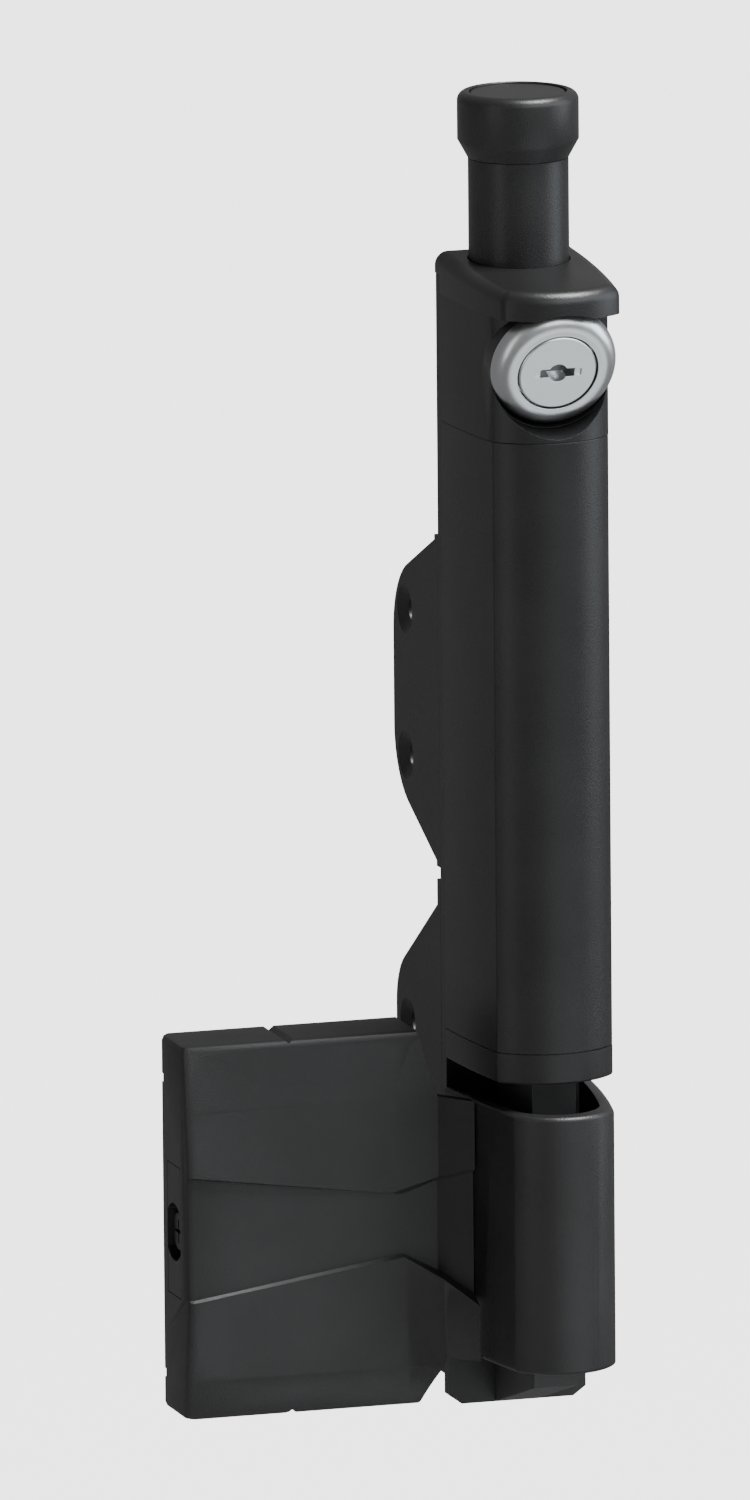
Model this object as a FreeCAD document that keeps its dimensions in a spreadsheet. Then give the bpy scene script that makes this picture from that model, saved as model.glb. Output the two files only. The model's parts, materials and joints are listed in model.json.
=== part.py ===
import FreeCAD, Part
import os
import re
import Sketcher
from FreeCAD import Placement, Rotation, Vector

# A magnetic pool gate latch: a tall latch body that fastens to the gate post, and a striker
# that fastens to the gate and slides over the foot of the latch body from the front.
# X runs along the fence, Y runs back towards the post, Z is up. The origin is the middle of
# the lower bracket, on the face of the post. Lengths are in millimetres.

doc = FreeCAD.newDocument("PoolGateLatch")
sheet = doc.addObject("Spreadsheet::Sheet", "Sizes")

SIZES = [
    # brackets and rail
    ("bracket_thickness", 3.0, "stamped bracket plate"),
    ("bracket_leg_right", 13.0, "reach of the bracket's front leg to the right"),
    ("bracket_gap", 3.2, "gap between the two brackets"),
    ("upper_half", 42.0, "half height of the upper bracket"),
    ("upper_slope", 17.0, "drop of its slanted edge"),
    ("upper_corner", 20.0, "radius of its outer corners"),
    ("upper_holes", 37.0, "spacing of its holes"),
    ("lower_half", 62.8, "half height of the lower bracket's front leg"),
    ("lower_wing_half", 58.2, "half height of the lower bracket's side wing"),
    ("lower_slope", 25.2, "drop of its slanted edge"),
    ("lower_corner", 15.0, "radius of its outer corners"),
    ("lower_holes", 43.0, "spacing of its holes"),
    ("wing_reach", 35.0, "reach of both wings along the post's side"),
    ("wing_hole_reach", 25.3, "from the post's face to the wing's holes"),
    ("wing_hole", 6.2, "through hole for a post screw"),
    ("wing_sink", 12.5, "countersink round that hole"),
    ("wing_sink_depth", 2.0, "depth of that countersink"),
    ("rail_width", 35.8, "back rail"),
    ("rail_thickness", 3.9, "back rail"),
    ("rail_below_origin", 70.0, "from the rail's foot up to the origin"),
    ("rail_corner_width", 3.3, "cut corner at the foot of the rail"),
    ("rail_corner_height", 2.4, "cut corner at the foot of the rail"),
    # latch body section, shared by the tube, the collar and the cap
    ("section_back_width", 36.2, "width at the rail"),
    ("section_front_width", 30.0, "width at the front corners"),
    ("section_side_depth", 33.0, "from the rail to the front corners"),
    ("section_crown", 7.1, "rise of the curved front"),
    ("section_side_bulge", 0.5, "rise of the curved sides"),
    ("tube_wall", 2.6, "wall of the tube"),
    ("tube_length", 153.9, "length of the tube"),
    ("collar_rise", 88.4, "from the rail's foot to the collar"),
    ("collar_height", 7.6, "bottom collar"),
    ("collar_edge", 0.8, "rounding of the collar's lower edge"),
    ("spigot_height", 5.0, "collar's spigot inside the tube"),
    ("fit_gap", 0.2, "clearance where pieces fit into each other"),
    # top cap and brow
    ("cap_height", 41.8, "top cap at its back"),
    ("cap_drop", 2.8, "fall of the cap's top towards the front"),
    ("cap_edge", 3.4, "rounding of the cap's top edges"),
    ("cap_roof", 5.5, "roof over the end of the rail"),
    ("brow_rise", 31.9, "from the tube up to the underside of the brow"),
    ("brow_reach", 8.0, "how far the brow stands in front of the section"),
    ("brow_front_width", 30.4, "brow between its front corners"),
    ("brow_corner", 3.5, "rounding of the brow's front corners"),
    ("seam_depth", 22.6, "seam of the lock face behind the tube's top, from the rail"),
    ("seam_lean", 12.5, "lean of that seam, degrees"),
    # lock
    ("lock_tilt", 21.0, "the lock looks down by this many degrees"),
    ("lock_rise", 19.3, "from the tube's top to the middle of the lock"),
    ("lock_standout", 1.7, "lock seat in front of the section's corners"),
    ("lock_boss_depth", 6.0, "round boss that backs the bezel"),
    ("scoop_tilt", 14.0, "the scoop looks down by this many degrees"),
    ("scoop_radius", 16.7, "scoop round the lock"),
    ("scoop_start", 2.0, "scoop floor in front of the lock seat"),
    ("bezel_radius", 15.9, "domed bezel"),
    ("bezel_rim", 0.9, "straight rim of the bezel"),
    ("bezel_height", 5.2, "height of the bezel"),
    ("bezel_lip", 0.8, "flat lip round the plug"),
    ("bezel_dome", 1.5, "rise of the dome's arc"),
    ("bezel_gap", 0.3, "gap round the bezel"),
    ("plug_radius", 10.0, "round face of the plug"),
    ("plug_face", 2.0, "thickness of the plug's face"),
    ("plug_gap", 0.35, "ring-shaped gap round the plug's face"),
    ("plug_stem", 7.4, "radius of the plug's stem"),
    ("barrel_radius", 9.0, "radius of the barrel"),
    ("barrel_length", 10.0, "barrel behind the lock seat"),
    ("barrel_flange", 0.8, "flange of the barrel under the plug's face"),
    ("nut_width", 22.0, "nut on the barrel, across flats"),
    ("nut_thickness", 2.4, "nut on the barrel"),
    ("nut_depth", 5.4, "nut's seat behind the lock seat"),
    ("nut_room", 13.4, "radius of the room round the nut"),
    ("tail_radius", 3.5, "tail of the plug"),
    ("cam_thickness", 2.0, "lock cam"),
    ("cam_hub", 5.5, "radius of the cam's hub"),
    ("cam_reach", 10.0, "reach of the cam's lug"),
    ("cam_width", 7.0, "width of the cam's lug"),
    ("keyway_length", 8.7, "keyway"),
    ("keyway_width", 2.2, "keyway"),
    ("keyway_depth", 6.0, "keyway"),
    ("keyway_round", 2.4, "radius of the round in the middle of the keyway"),
    ("keyway_step_length", 12.0, "shallow step round the keyway"),
    ("keyway_step_width", 1.7, "shallow step round the keyway"),
    ("keyway_step_depth", 0.5, "shallow step round the keyway"),
    # lifting knob
    ("knob_travel", 12.0, "travel of the knob"),
    ("shaft_radius", 12.5, "knob shaft"),
    ("shaft_axis_depth", 8.1, "from the rail to the knob's axis"),
    ("shaft_standoff", 0.4, "shaft in front of the rail"),
    ("shaft_edge", 0.8, "rounding of the edges of the shaft's flat back"),
    ("shaft_gap", 0.3, "clearance round the shaft"),
    ("shaft_below_cap", 14.0, "shaft below the tube's top"),
    ("neck_height", 24.7, "shaft above the cap"),
    ("flare_height", 4.7, "flare under the knob's head"),
    ("flare_growth", 2.6, "growth of the head all round"),
    ("head_height", 12.0, "head above the flare"),
    ("head_edge", 2.4, "rounding of the head's top edge"),
    ("lid_inset", 3.0, "rim round the knob's lid"),
    ("lid_gap", 0.15, "clearance round the lid"),
    ("lid_thickness", 2.4, "knob's lid"),
    ("lid_sunk", 0.4, "lid below the rim"),
    ("knob_screw_length", 20.0, "screw that ties head and shaft"),
    ("knob_screw_head", 2.4, "height of its head"),
    ("knob_screw_sink", 3.0, "its head below the lid's floor"),
    ("notch_low", 8.1, "foot of the cam notch above the tube's top"),
    ("notch_high", 37.2, "top of the cam notch above the tube's top"),
    ("notch_depth", 15.6, "floor of the cam notch in front of the rail"),
    ("bush_height", 8.0, "guide bush in the tube's mouth"),
    # pull rod, carrier and latch pin
    ("rod_radius", 4.0, "pull rod"),
    ("rod_setback", 11.5, "rod's axis in front of the rail"),
    ("rod_grip", 10.0, "length of the rod inside the shaft"),
    ("pin_radius", 3.5, "latch pin"),
    ("pin_setback", 21.1, "pin's axis in front of the rail"),
    ("pin_tip_rise", 64.8, "pin's tip above the rail's foot, knob up"),
    ("pin_nose", 1.0, "chamfer of the pin's tip"),
    ("pin_gap", 0.25, "clearance round rod and pin"),
    ("carrier_width", 15.0, "pin carrier"),
    ("carrier_height", 14.0, "pin carrier"),
    ("carrier_margin", 3.0, "carrier beyond the rod and the pin"),
    ("carrier_web", 3.0, "carrier left above the pin"),
    ("cross_pin", 1.2, "radius of the cross pins"),
    ("guide_height", 6.0, "rod guide inside the tube"),
    ("guide_rise", 88.0, "rod guide above the tube's foot"),
    ("seat_radius", 6.8, "spring seat"),
    ("seat_thickness", 1.2, "spring seat"),
    ("spring_length", 26.0, "return spring with the knob up"),
    ("spring_wire", 1.1, "wire of the spring"),
    ("spring_radius", 4.8, "middle radius of the spring"),
    ("spring_turns", 6.0, "turns of the spring"),
    # latch fin
    ("fin_width", 11.4, "latch fin"),
    ("fin_depth", 32.0, "latch fin in front of the rail"),
    ("fin_ramp", 10.0, "ramp at the foot of the fin"),
    ("fin_above_collar", 22.0, "fin inside the tube, above the collar's foot"),
    ("window_low", 28.0, "foot of the keeper's window above the rail's foot"),
    ("window_high", 64.0, "top of the keeper's window"),
    ("window_floor", 11.0, "back of the window, from the rail"),
    # keeper and its magnet
    ("keeper_gap", 0.3, "clearance behind the keeper in its window"),
    ("keeper_rise", 2.0, "keeper above the window's foot"),
    ("keeper_fall", 2.0, "keeper below the window's top"),
    ("keeper_width", 18.0, "keeper block"),
    ("keeper_front", 37.0, "front of the keeper, from the rail"),
    ("socket_width", 9.6, "square socket for the pin"),
    ("socket_depth", 17.5, "square socket for the pin"),
    ("magnet_radius", 5.0, "round magnet under the socket"),
    ("magnet_height", 9.0, "round magnet"),
    ("magnet_lid", 2.6, "lid under the magnet"),
    ("keeper_screw_spread", 6.9, "keeper screws either side of the pin"),
    ("keeper_screw_rise", 24.0, "keeper screws above the keeper's foot"),
    ("keeper_screw_radius", 1.25, "keeper screws"),
    ("keeper_screw_head", 2.0, "countersunk heads of the keeper screws"),
    # striker sleeve
    ("sleeve_rise", 16.2, "sleeve above the rail's foot"),
    ("sleeve_top_gap", 6.9, "gap between collar and sleeve"),
    ("sleeve_back_half", 19.0, "half width of the sleeve at its back"),
    ("sleeve_front_half", 13.1, "half width of the sleeve at its corners"),
    ("sleeve_back", 1.6, "back of the sleeve, from the rail"),
    ("sleeve_corner", 40.1, "sleeve's front corners, from the rail"),
    ("sleeve_crown", 7.5, "rise of the sleeve's curved front"),
    ("sleeve_bulge", 0.7, "rise of the sleeve's curved sides"),
    ("sleeve_side_wall", 2.4, "sleeve's side walls"),
    ("sleeve_front_wall", 4.2, "sleeve's front wall"),
    ("sleeve_edge", 1.2, "rounding of the sleeve's edges"),
    # striker cover, the faceted plate on the gate; depths are from the rail's back
    ("cover_left", 90.7, "left face of the cover from the middle"),
    ("cover_right", 29.9, "right end of the cover's top and foot"),
    ("cover_rise", 4.0, "cover above the rail's foot"),
    ("cover_height", 95.0, "height of the cover"),
    ("cover_wall", 2.8, "wall of the cover"),
    ("cover_edge", 1.6, "rounding of the cover's outer edges"),
    ("edge_depth", 17.8, "depth at top and foot"),
    ("belly_depth", 22.0, "depth at the left ends of the creases"),
    ("valley_depth", 15.2, "depth of the valley beside the arm"),
    ("valley_reach", 36.0, "valley from the middle"),
    ("valley_shift", 3.0, "shift of the valley inside the middle band"),
    ("valley_top_reach", 31.0, "valley's upper end from the middle"),
    ("valley_drop", 17.0, "valley's bend below the cover's top"),
    ("band_sunk", 1.6, "middle band below the upper facet"),
    ("band_dip", 0.8, "middle band below the lower facet and the valley"),
    ("crease_step", 0.6, "height of the step at a crease"),
    ("upper_crease_left", 62.4, "upper crease above the cover's foot"),
    ("upper_crease_valley", 53.6, "upper crease at the valley"),
    ("upper_crease_arm", 60.5, "upper crease at the sleeve"),
    ("lower_crease_left", 30.7, "lower crease above the cover's foot"),
    ("lower_crease_valley", 37.3, "lower crease at the valley"),
    ("lower_crease_arm", 26.3, "lower crease at the sleeve"),
    ("ledge_height", 2.2, "height of the ledge at the sleeve"),
    ("arm_reach", 24.0, "arm's shoulder from the middle"),
    ("arm_end", 17.3, "arm's end at the sleeve from the middle"),
    ("arm_wall", 4.0, "thickness of the arm"),
    ("arm_end_depth", 25.1, "arm's depth at the sleeve"),
    ("toe_depth", 22.6, "depth of the lower arm at its shoulder"),
    ("toe_end_depth", 28.5, "depth of the lower arm at the sleeve"),
    ("toe_valley_depth", 19.0, "depth of the lower facet beside the arm's foot"),
    ("toe_corner_rise", 10.0, "cut corner at the cover's foot, height"),
    ("toe_corner_width", 5.0, "cut corner at the cover's foot, width"),
    ("groove_width", 2.6, "alignment groove in the top and foot"),
    ("groove_depth", 1.1, "alignment groove in the top and foot"),
    ("groove_reach", 63.0, "alignment groove from the middle"),
    ("side_notch_top", 84.0, "upper notch in the left back edge above the foot"),
    ("side_notch_low", 9.0, "lower notch in the left back edge above the foot"),
    # side insert and adjuster in the cover's left wall
    ("insert_low", 30.5, "foot of the side insert above the cover's foot"),
    ("insert_high", 63.5, "top of the side insert"),
    ("insert_back", 3.8, "back of the side insert"),
    ("insert_front", 14.5, "front of the side insert"),
    ("insert_thickness", 6.5, "side insert"),
    ("adjuster_rise", 46.5, "adjuster screw above the cover's foot"),
    ("adjuster_depth", 9.2, "adjuster screw's axis"),
    ("adjuster_head", 4.6, "radius of the adjuster's head"),
    ("adjuster_head_height", 2.4, "adjuster's head"),
    ("adjuster_shank", 3.0, "radius of the adjuster's shank"),
    ("adjuster_length", 24.0, "length of the adjuster's shank"),
    ("recess_radius", 7.2, "round recess over the adjuster"),
    ("recess_depth", 3.6, "round recess over the adjuster"),
    # gate plate inside the cover
    ("plate_thickness", 3.4, "gate plate"),
    ("plate_gap", 0.3, "clearance round the gate plate"),
    ("plate_right", 32.5, "right edge of the gate plate from the middle"),
    ("lug_length", 13.0, "threaded lug on the gate plate"),
    ("lug_height", 14.0, "threaded lug on the gate plate"),
    ("lug_rise", 14.2, "threaded lug's height above the gate"),
    ("gate_hole", 5.5, "gate screw hole"),
    ("gate_hole_side", 10.0, "gate screw holes in from the plate's side edges"),
    ("gate_hole_end", 12.0, "gate screw holes in from the plate's ends"),
    # screws
    ("screw_radius", 2.0, "rail and bracket screws"),
    ("screw_head", 3.7, "countersunk head"),
    ("screw_sink", 2.0, "height of the countersunk head"),
    ("screw_slot", 0.8, "width of a drive slot"),
    ("screw_slot_depth", 1.4, "depth of a cross slot"),
    ("screw_gap", 0.1, "clearance round a screw"),
    ("bracket_screw_spread", 10.0, "bracket screws from the middle"),
    ("upper_screw_rise", 26.0, "screws above and below the upper bracket's middle"),
    ("lower_screw_rise", 34.0, "screws above and below the lower bracket's middle"),
    ("cap_screw_spread", 14.2, "cap and collar screws from the middle"),
    ("fin_screw_length", 13.0, "screws into the fin"),
    ("collar_screw_length", 10.0, "screws into the collar"),
    ("cap_screw_length", 8.0, "screws into the cap and the rod guide"),
]

for row, (alias, length, meaning) in enumerate(SIZES, start=1):
    sheet.set(f"A{row}", str(length))
    sheet.setAlias(f"A{row}", alias)
    sheet.set(f"B{row}", meaning)
doc.recompute()

SIZE_NAMES = {alias for alias, length, meaning in SIZES}

# Places that several pieces share, worked out from the sizes above.
PLACES = {
    "bracket_spacing": "lower_half + bracket_gap + upper_half",
    "rail_back": "-bracket_thickness",
    "rail_front": "rail_back - rail_thickness",
    "rail_foot": "-rail_below_origin",
    "collar_foot": "rail_foot + collar_rise",
    "tube_foot": "collar_foot + collar_height",
    "tube_top": "tube_foot + tube_length",
    "cap_top": "tube_top + cap_height",
    "rail_top": "cap_top - cap_roof",
    "brow_foot": "tube_top + brow_rise",
    "section_corner": "rail_front - section_side_depth",
    "section_front": "section_corner - section_crown",
    "brow_front": "section_front - brow_reach",
    "fin_foot": "rail_foot + fin_ramp",
    "fin_top": "collar_foot + fin_above_collar",
    "fin_front": "rail_front - fin_depth",
    "window_foot": "rail_foot + window_low",
    "window_top": "rail_foot + window_high",
    "window_back": "rail_front - window_floor",
    "rod_line": "rail_front - rod_setback",
    "pin_line": "rail_front - pin_setback",
    "seat_top": "fin_top + seat_thickness",
    "carrier_foot": "seat_top + spring_length",
    "carrier_top": "carrier_foot + carrier_height",
    "pin_tip": "rail_foot + pin_tip_rise",
    "guide_foot": "tube_foot + guide_rise",
    "shaft_foot": "tube_top - shaft_below_cap",
    "neck_top": "cap_top + neck_height",
    "head_foot": "neck_top + flare_height",
    "head_top": "head_foot + head_height",
    "shaft_back": "rail_front - shaft_standoff",
    "slot_half": "shaft_radius + 2 * shaft_gap",
    "knob_axis": "rail_front - shaft_axis_depth",
    "lock_y": "section_corner - lock_standout",
    "lock_z": "tube_top + lock_rise",
    "keeper_foot": "window_foot + keeper_rise",
    "keeper_top": "window_top - keeper_fall",
    "keeper_back": "window_back - keeper_gap",
    "keeper_face": "rail_front - keeper_front",
    "sleeve_foot": "rail_foot + sleeve_rise",
    "sleeve_top": "collar_foot - sleeve_top_gap",
    "cover_foot": "rail_foot + cover_rise",
    "cover_top": "cover_foot + cover_height",
    "insert_foot": "cover_foot + insert_low",
    "insert_top": "cover_foot + insert_high",
    "adjuster_z": "cover_foot + adjuster_rise",
    "adjuster_y": "rail_back - adjuster_depth",
    "wall_inside": "-cover_left + cover_wall",
}


def formula(text):
    """Spell a formula of the names above as an expression on the sheet."""
    def spell(match):
        word = match.group(0)
        if word in PLACES:
            return "(" + formula(PLACES[word]) + ")"
        if word in SIZE_NAMES:
            return "Sizes." + word
        return word
    return re.sub(r"[a-z_]+", spell, str(text))


def number(text):
    """The present value of such a formula."""
    return float(sheet.evalExpression(formula(text)))


def new_body(label):
    body = doc.addObject("PartDesign::Body", label)
    body.Label = label
    return body


def sketch_on(body, role, offset="0"):
    """An empty sketch on one of the body's own planes, moved along its normal."""
    sketch = body.newObject("Sketcher::SketchObject", "sketch")
    plane = next(item for item in body.Origin.OriginFeatures if item.Role == role)
    sketch.AttachmentSupport = [(plane, "")]
    sketch.MapMode = "FlatFace"
    sketch.setExpression("AttachmentOffset.Base.z", formula(offset))
    return sketch


def bind(sketch, constraint, text):
    index = sketch.addConstraint(constraint)
    sketch.setExpression(f"Constraints[{index}]", formula(text))


def outline(sketch, corners):
    """A closed loop through corners (across, up[, bulge]), anticlockwise.

    A bulge is how far the side that leaves the corner bows outwards."""
    first = sketch.GeometryCount
    places = [Vector(number(corner[0]), number(corner[1]), 0) for corner in corners]
    ends = []
    for index, corner in enumerate(corners):
        start = places[index]
        stop = places[(index + 1) % len(corners)]
        if len(corner) == 2:
            edge = sketch.addGeometry(Part.LineSegment(start, stop), False)
            ends.append((edge, 1, 2))
            continue
        run = stop - start
        outward = Vector(run.y, -run.x, 0).normalize()
        middle = (start + stop) / 2 + outward * number(corner[2])
        edge = sketch.addGeometry(Part.Arc(start, middle, stop), False)
        forward = sketch.getPoint(edge, 1).distanceToPoint(start) < 1e-6
        ends.append((edge, 1, 2) if forward else (edge, 2, 1))
    for index, corner in enumerate(corners):
        edge, start, stop = ends[index]
        after = corners[(index + 1) % len(corners)]
        next_edge, next_start, next_stop = ends[(index + 1) % len(corners)]
        sketch.addConstraint(Sketcher.Constraint("Coincident", edge, stop, next_edge, next_start))
        across = Sketcher.Constraint("DistanceX", -1, 1, edge, start, places[index].x)
        bind(sketch, across, corner[0])
        up = Sketcher.Constraint("DistanceY", -1, 1, edge, start, places[index].y)
        bind(sketch, up, corner[1])
        if len(corner) == 3:
            chord = f"((({after[0]}) - ({corner[0]}))^2 + (({after[1]}) - ({corner[1]}))^2)"
            radius = f"{chord} / (8 * ({corner[2]})) + ({corner[2]}) / 2"
            bind(sketch, Sketcher.Constraint("Radius", edge, number(radius)), radius)
    return first


def box_outline(sketch, left, right, low, high):
    outline(sketch, [(left, low), (right, low), (right, high), (left, high)])


def circle(sketch, across, up, radius):
    centre = Vector(number(across), number(up), 0)
    edge = sketch.addGeometry(Part.Circle(centre, Vector(0, 0, 1), number(radius)), False)
    bind(sketch, Sketcher.Constraint("Radius", edge, number(radius)), radius)
    bind(sketch, Sketcher.Constraint("DistanceX", -1, 1, edge, 3, centre.x), across)
    bind(sketch, Sketcher.Constraint("DistanceY", -1, 1, edge, 3, centre.y), up)


def pad(body, sketch, length, symmetric=False):
    feature = body.newObject("PartDesign::Pad", "pad")
    feature.Profile = sketch
    feature.setExpression("Length", formula(length))
    if symmetric:
        feature.SideType = "Symmetric"
    return feature


def pocket(body, sketch, length=None, symmetric=False, along_normal=False):
    """Cut the sketch out of the body, by default against the plane's normal."""
    doc.recompute()
    before = body.Shape.Volume
    feature = body.newObject("PartDesign::Pocket", "pocket")
    feature.Profile = sketch
    if symmetric:
        feature.SideType = "Symmetric"
        length = "section_back_width * 2"
    if length is None:
        feature.Type = "ThroughAll"
    else:
        feature.setExpression("Length", formula(length))
    feature.Reversed = along_normal
    doc.recompute()
    if body.Shape.Volume > before - 1e-6:
        raise RuntimeError(f"a pocket of {body.Label} cuts nothing")
    return feature


def revolve(body, sketch):
    feature = body.newObject("PartDesign::Revolution", "revolution")
    feature.Profile = sketch
    feature.ReferenceAxis = (sketch, ["V_Axis"])
    feature.Angle = 360
    return feature


def dress(body, kind, amount, chosen, second=None, flip=False):
    """Fillet or chamfer the edges of the body's last feature that chosen() picks."""
    doc.recompute()
    base = body.Tip
    names = [f"Edge{place}" for place, edge in enumerate(base.Shape.Edges, start=1) if chosen(edge)]
    if not names:
        raise RuntimeError(f"no edge of {body.Label} was picked")
    feature = body.newObject(f"PartDesign::{kind}", kind.lower())
    feature.Base = (base, names)
    feature.setExpression("Radius" if kind == "Fillet" else "Size", formula(amount))
    if second:
        feature.ChamferType = "Two distances"
        feature.setExpression("Size2", formula(second))
        feature.FlipDirection = flip
    doc.recompute()
    if "Invalid" in feature.State:
        raise RuntimeError(f"a {kind.lower()} of {body.Label} failed")
    return feature


def upright(edge, across, depth):
    """True for an upright edge at this X (either side) and this Y."""
    box = edge.BoundBox
    return (box.XLength < 1e-4 and box.YLength < 1e-4
            and abs(abs(box.XMin) - number(across)) < 1e-3 and abs(box.YMin - number(depth)) < 1e-3)


def level(edge, height):
    box = edge.BoundBox
    return abs(box.ZMin - number(height)) < 1e-4 and abs(box.ZMax - number(height)) < 1e-4


def cut(label, base, *tools):
    """Base less the tools, each a solid of its own."""
    rest = base
    for place, tool in enumerate(tools):
        feature = doc.addObject("Part::Cut", f"{label}_cut{place}")
        feature.Base = rest
        feature.Tool = tool
        rest = feature
    rest.Label = label
    return rest


def fuse(label, base, tool):
    feature = doc.addObject("Part::Fuse", label)
    feature.Base = base
    feature.Tool = tool
    feature.Refine = True
    return feature


def cylinder(name, radius, height, x="0", y="0", z="0", axis=Vector(0, 0, 1), turn="0"):
    """A cylinder whose foot is at (x, y, z), turned about the axis by turn degrees."""
    shape = doc.addObject("Part::Cylinder", name)
    shape.setExpression("Radius", formula(radius))
    shape.setExpression("Height", formula(height))
    place(shape, x, y, z, axis, turn)
    return shape


def place(item, x, y, z, axis=Vector(0, 0, 1), turn="0"):
    item.Placement = Placement(Vector(number(x), number(y), number(z)), Rotation(axis, number(turn)))
    item.setExpression("Placement.Base.x", formula(x))
    item.setExpression("Placement.Base.y", formula(y))
    item.setExpression("Placement.Base.z", formula(z))
    if turn != "0":
        item.setExpression("Placement.Rotation.Angle", formula(turn))


def on_lock(item, along="0", tilt="lock_tilt"):
    """Stand an upright piece on the lock's axis, its foot this far in front of the seat."""
    y = f"lock_y - cos({tilt} * 1 deg) * ({along})"
    z = f"lock_z - sin({tilt} * 1 deg) * ({along})"
    place(item, "0", y, z, Vector(1, 0, 0), f"90 + {tilt}")


def lock_cylinder(name, radius, start, stop, tilt="lock_tilt"):
    shape = cylinder(name, radius, f"({stop}) - ({start})")
    on_lock(shape, start, tilt)
    return shape


def section(sketch, inset="0"):
    """The latch body's outline from above, drawn in from the outside by inset."""
    outline(sketch, [
        (f"-(section_back_width / 2 - {inset})", f"rail_front - {inset}", "section_side_bulge"),
        (f"-(section_front_width / 2 - {inset})", f"section_corner + {inset}", "section_crown"),
        (f"section_front_width / 2 - {inset}", f"section_corner + {inset}", "section_side_bulge"),
        (f"section_back_width / 2 - {inset}", f"rail_front - {inset}"),
    ])


def shaft_half(growth="0", back="0"):
    """Half the width of the shaft's flat back, with the outline grown outwards."""
    return (f"sqrt((shaft_radius + {growth})^2"
            f" - (shaft_back + {growth} + {back} - knob_axis)^2)")


def shaft_outline(sketch, growth="0", back="0"):
    """The knob shaft from above, round with a flat back; back shifts only that flat."""
    flat = f"shaft_back + {growth} + {back}"
    half = shaft_half(growth, back)
    outline(sketch, [
        (f"-{half}", flat, f"shaft_radius + {growth} + ({flat}) - knob_axis"),
        (half, flat),
    ])


RAIL_SCREW = ("screw_radius", "screw_head", "screw_sink")
KEEPER_SCREW = ("keeper_screw_radius", "keeper_screw_head", "keeper_screw_radius")


def screw(start, direction, length, growth=0.0, kind=RAIL_SCREW):
    """A countersunk screw from the middle of its head; growth makes the hole for it."""
    radius, top, sink = [number(name) for name in kind]
    radius += growth
    top += growth
    shape = Part.makeCylinder(radius, length + growth, start, direction)
    shape = shape.fuse(Part.makeCone(top, radius, sink, start, direction))
    if growth:
        return shape
    across = Vector(0, 0, 1)
    for arm in (across, direction.cross(across)):
        aside = direction.cross(arm)
        length = top * 1.1
        width = top * 0.22
        corner = start - arm * (length / 2) - aside * (width / 2) - direction * 0.1
        corners = [corner, corner + arm * length, corner + arm * length + aside * width,
                   corner + aside * width, corner]
        slot = Part.Face(Part.makePolygon(corners)).extrude(direction * (sink * 0.7))
        shape = shape.cut(slot)
    return shape


def solids(name, shapes):
    """One object that holds several separate solids."""
    feature = doc.addObject("Part::Feature", name)
    feature.Shape = Part.makeCompound(shapes)
    return feature


# Screws. Rail screws enter the rail's back and reach into the fin, the tube's rod guide,
# the collar and the cap; bracket screws join each bracket's front leg to the rail.

BACKWARDS = Vector(0, 1, 0)
FORWARDS = Vector(0, -1, 0)
rail_screw_spots = [
    ("0", "rail_foot + fin_ramp * 0.9", "fin_screw_length"),
    ("0", "collar_foot - sleeve_top_gap * 1.6", "fin_screw_length"),
    ("0", "fin_top - screw_head * 2", "fin_screw_length"),
    ("cap_screw_spread", "collar_foot + collar_height / 2", "collar_screw_length"),
    ("-cap_screw_spread", "collar_foot + collar_height / 2", "collar_screw_length"),
    ("0", "guide_foot + guide_height / 2", "cap_screw_length"),
    ("cap_screw_spread", "tube_top + cap_height * 0.35", "cap_screw_length"),
    ("-cap_screw_spread", "tube_top + cap_height * 0.35", "cap_screw_length"),
]
bracket_screw_spots = [
    (f"{side} * bracket_screw_spread", f"{middle} + {sign} * {rise}")
    for middle, rise in (("0", "lower_screw_rise"), ("bracket_spacing", "upper_screw_rise"))
    for side in (-1, 1) for sign in (-1, 1)
]


def rail_screws(growth=0.0):
    start = number("rail_back")
    return [screw(Vector(number(x), start, number(z)), FORWARDS, number(length), growth)
            for x, z, length in rail_screw_spots]


def bracket_screws(growth=0.0):
    length = number("bracket_thickness + rail_thickness * 0.8")
    return [screw(Vector(number(x), 0, number(z)), FORWARDS, length, growth)
            for x, z in bracket_screw_spots]


rail_screw_set = solids("rail_screws", rail_screws())
bracket_screw_set = solids("bracket_screws", bracket_screws())
rail_screw_holes = solids("rail_screw_holes", rail_screws(number("screw_gap")))
bracket_screw_holes = solids("bracket_screw_holes", bracket_screws(number("screw_gap")))

# Back rail: a flat bar behind the whole latch body, with cut corners at its foot.

rail_body = new_body("rail_body")
sketch = sketch_on(rail_body, "XZ_Plane", "bracket_thickness")
outline(sketch, [
    ("-(rail_width / 2 - rail_corner_width)", "rail_foot"),
    ("rail_width / 2 - rail_corner_width", "rail_foot"),
    ("rail_width / 2", "rail_foot + rail_corner_height"),
    ("rail_width / 2", "rail_top"),
    ("-rail_width / 2", "rail_top"),
    ("-rail_width / 2", "rail_foot + rail_corner_height"),
])
pad(rail_body, sketch, "rail_thickness")
back_rail = cut("back_rail", rail_body, rail_screw_holes, bracket_screw_holes)

# Latch fin: a tall rib on the rail, ramped at its foot, with a window for the keeper and a
# bore that guides the latch pin down into that window.

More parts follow.
